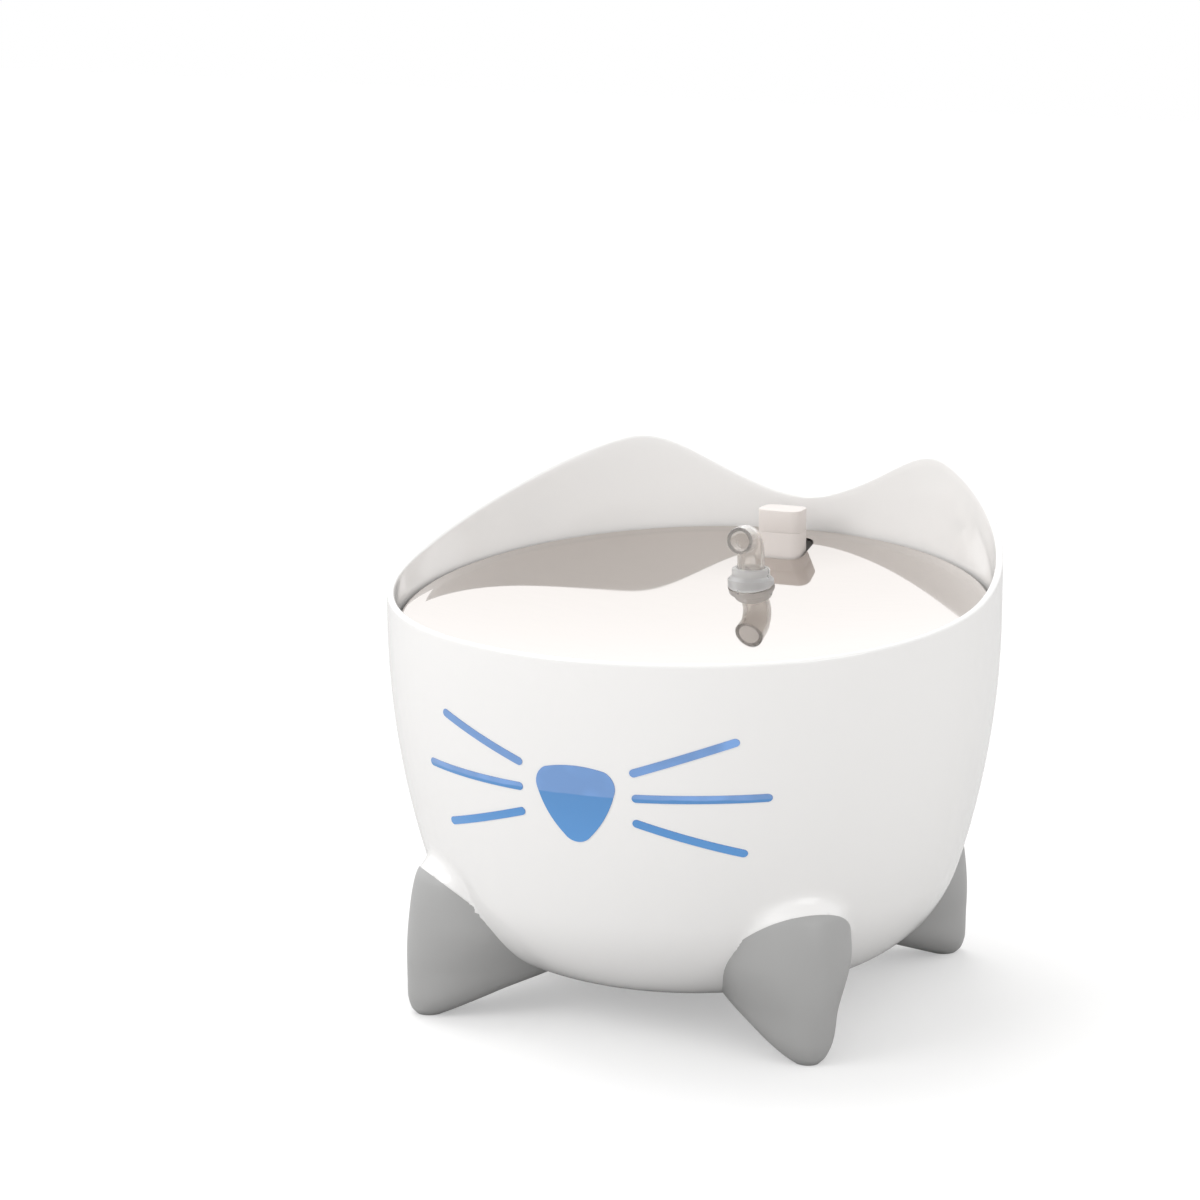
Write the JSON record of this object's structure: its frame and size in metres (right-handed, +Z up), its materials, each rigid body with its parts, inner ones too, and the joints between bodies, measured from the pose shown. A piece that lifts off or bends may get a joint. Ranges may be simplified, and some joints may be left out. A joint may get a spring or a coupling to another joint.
{
  "type": "pet water fountain",
  "caption": "Footed white bowl with an ear-shaped rim, blue nose and whisker windows, a tilted steel drinking dish, a clear spout and a submersible pump",
  "frame": {"origin": "on the floor under the axis of the round bowl", "axes": "+Z up, -Y towards the face with the nose, +X to the right seen from the face"},
  "size_m": [0.236, 0.236, 0.1965],
  "materials": {
    "bowl_white": "gloss",
    "foot_grey": "satin, soft touch",
    "window_blue": "clear tinted",
    "liner_clear": "clear",
    "steel": "polished stainless steel",
    "carrier_white": "satin",
    "filter_white": "satin",
    "carbon_black": "granular",
    "foam_blue": "open foam",
    "spout_clear": "clear",
    "collar_frost": "frosted",
    "tube_clear": "clear",
    "post_white": "matte",
    "seal_rubber": "matte",
    "pump_black": "fine texture",
    "resin_black": "gloss",
    "core_steel": "laminated",
    "winding_copper": "enamelled wire",
    "rotor_blue": "gloss",
    "magnet_grey": "ferrite",
    "shaft_ceramic": "ceramic",
    "cup_clear": "translucent",
    "lead_white": "satin"
  },
  "bodies": {
    "reservoir": {"body_shell": "bowl_white", "foot_front_left": "foot_grey", "foot_front_right": "foot_grey", "foot_rear_left": "foot_grey", "foot_rear_right": "foot_grey", "face_liner": "liner_clear", "nose_window": "window_blue", "whiskers_left": "window_blue", "whiskers_right": "window_blue", "cable_post": "post_white", "post_cap": "post_white", "cable_gland": "seal_rubber", "flow_tube": "tube_clear", "tube_sleeve": "seal_rubber", "pump_housing": "pump_black", "motor_potting": "resin_black", "stator_core": "core_steel", "stator_coil": "winding_copper", "pump_cover": "pump_black", "rotor_shaft": "shaft_ceramic", "shaft_bushes": "seal_rubber", "suction_cups": "cup_clear", "pump_lead": "lead_white"},
    "top": {"drinking_plate": "steel", "plate_carrier": "carrier_white", "filter_tray": "carrier_white", "filter_frame": "filter_white", "filter_carbon": "carbon_black", "filter_foam": "foam_blue"},
    "spout_base": {"spout_collar": "collar_frost"},
    "spout": {"spout": "spout_clear"},
    "rotor": {"impeller": "rotor_blue", "rotor_magnet": "magnet_grey"}
  },
  "joints": [
    {"name": "top_lift", "type": "slide", "parent": "reservoir", "child": "top", "axis": [0, 0, 1], "range_m": [0, 0.1]},
    {"name": "spout_pull", "type": "slide", "parent": "top", "child": "spout_base", "axis": [0, 0, 1], "range_m": [0, 0.06]},
    {"name": "spout_swivel", "type": "hinge", "parent": "spout_base", "child": "spout", "pos_m": [0, 0.0595, 0.15], "axis": [0, 0, 1], "range_deg": [-60, 60]},
    {"name": "impeller_spin", "type": "hinge", "parent": "reservoir", "child": "rotor", "pos_m": [0, 0.0595, 0.038], "axis": [0, 1, 0], "continuous": true}
  ]
}
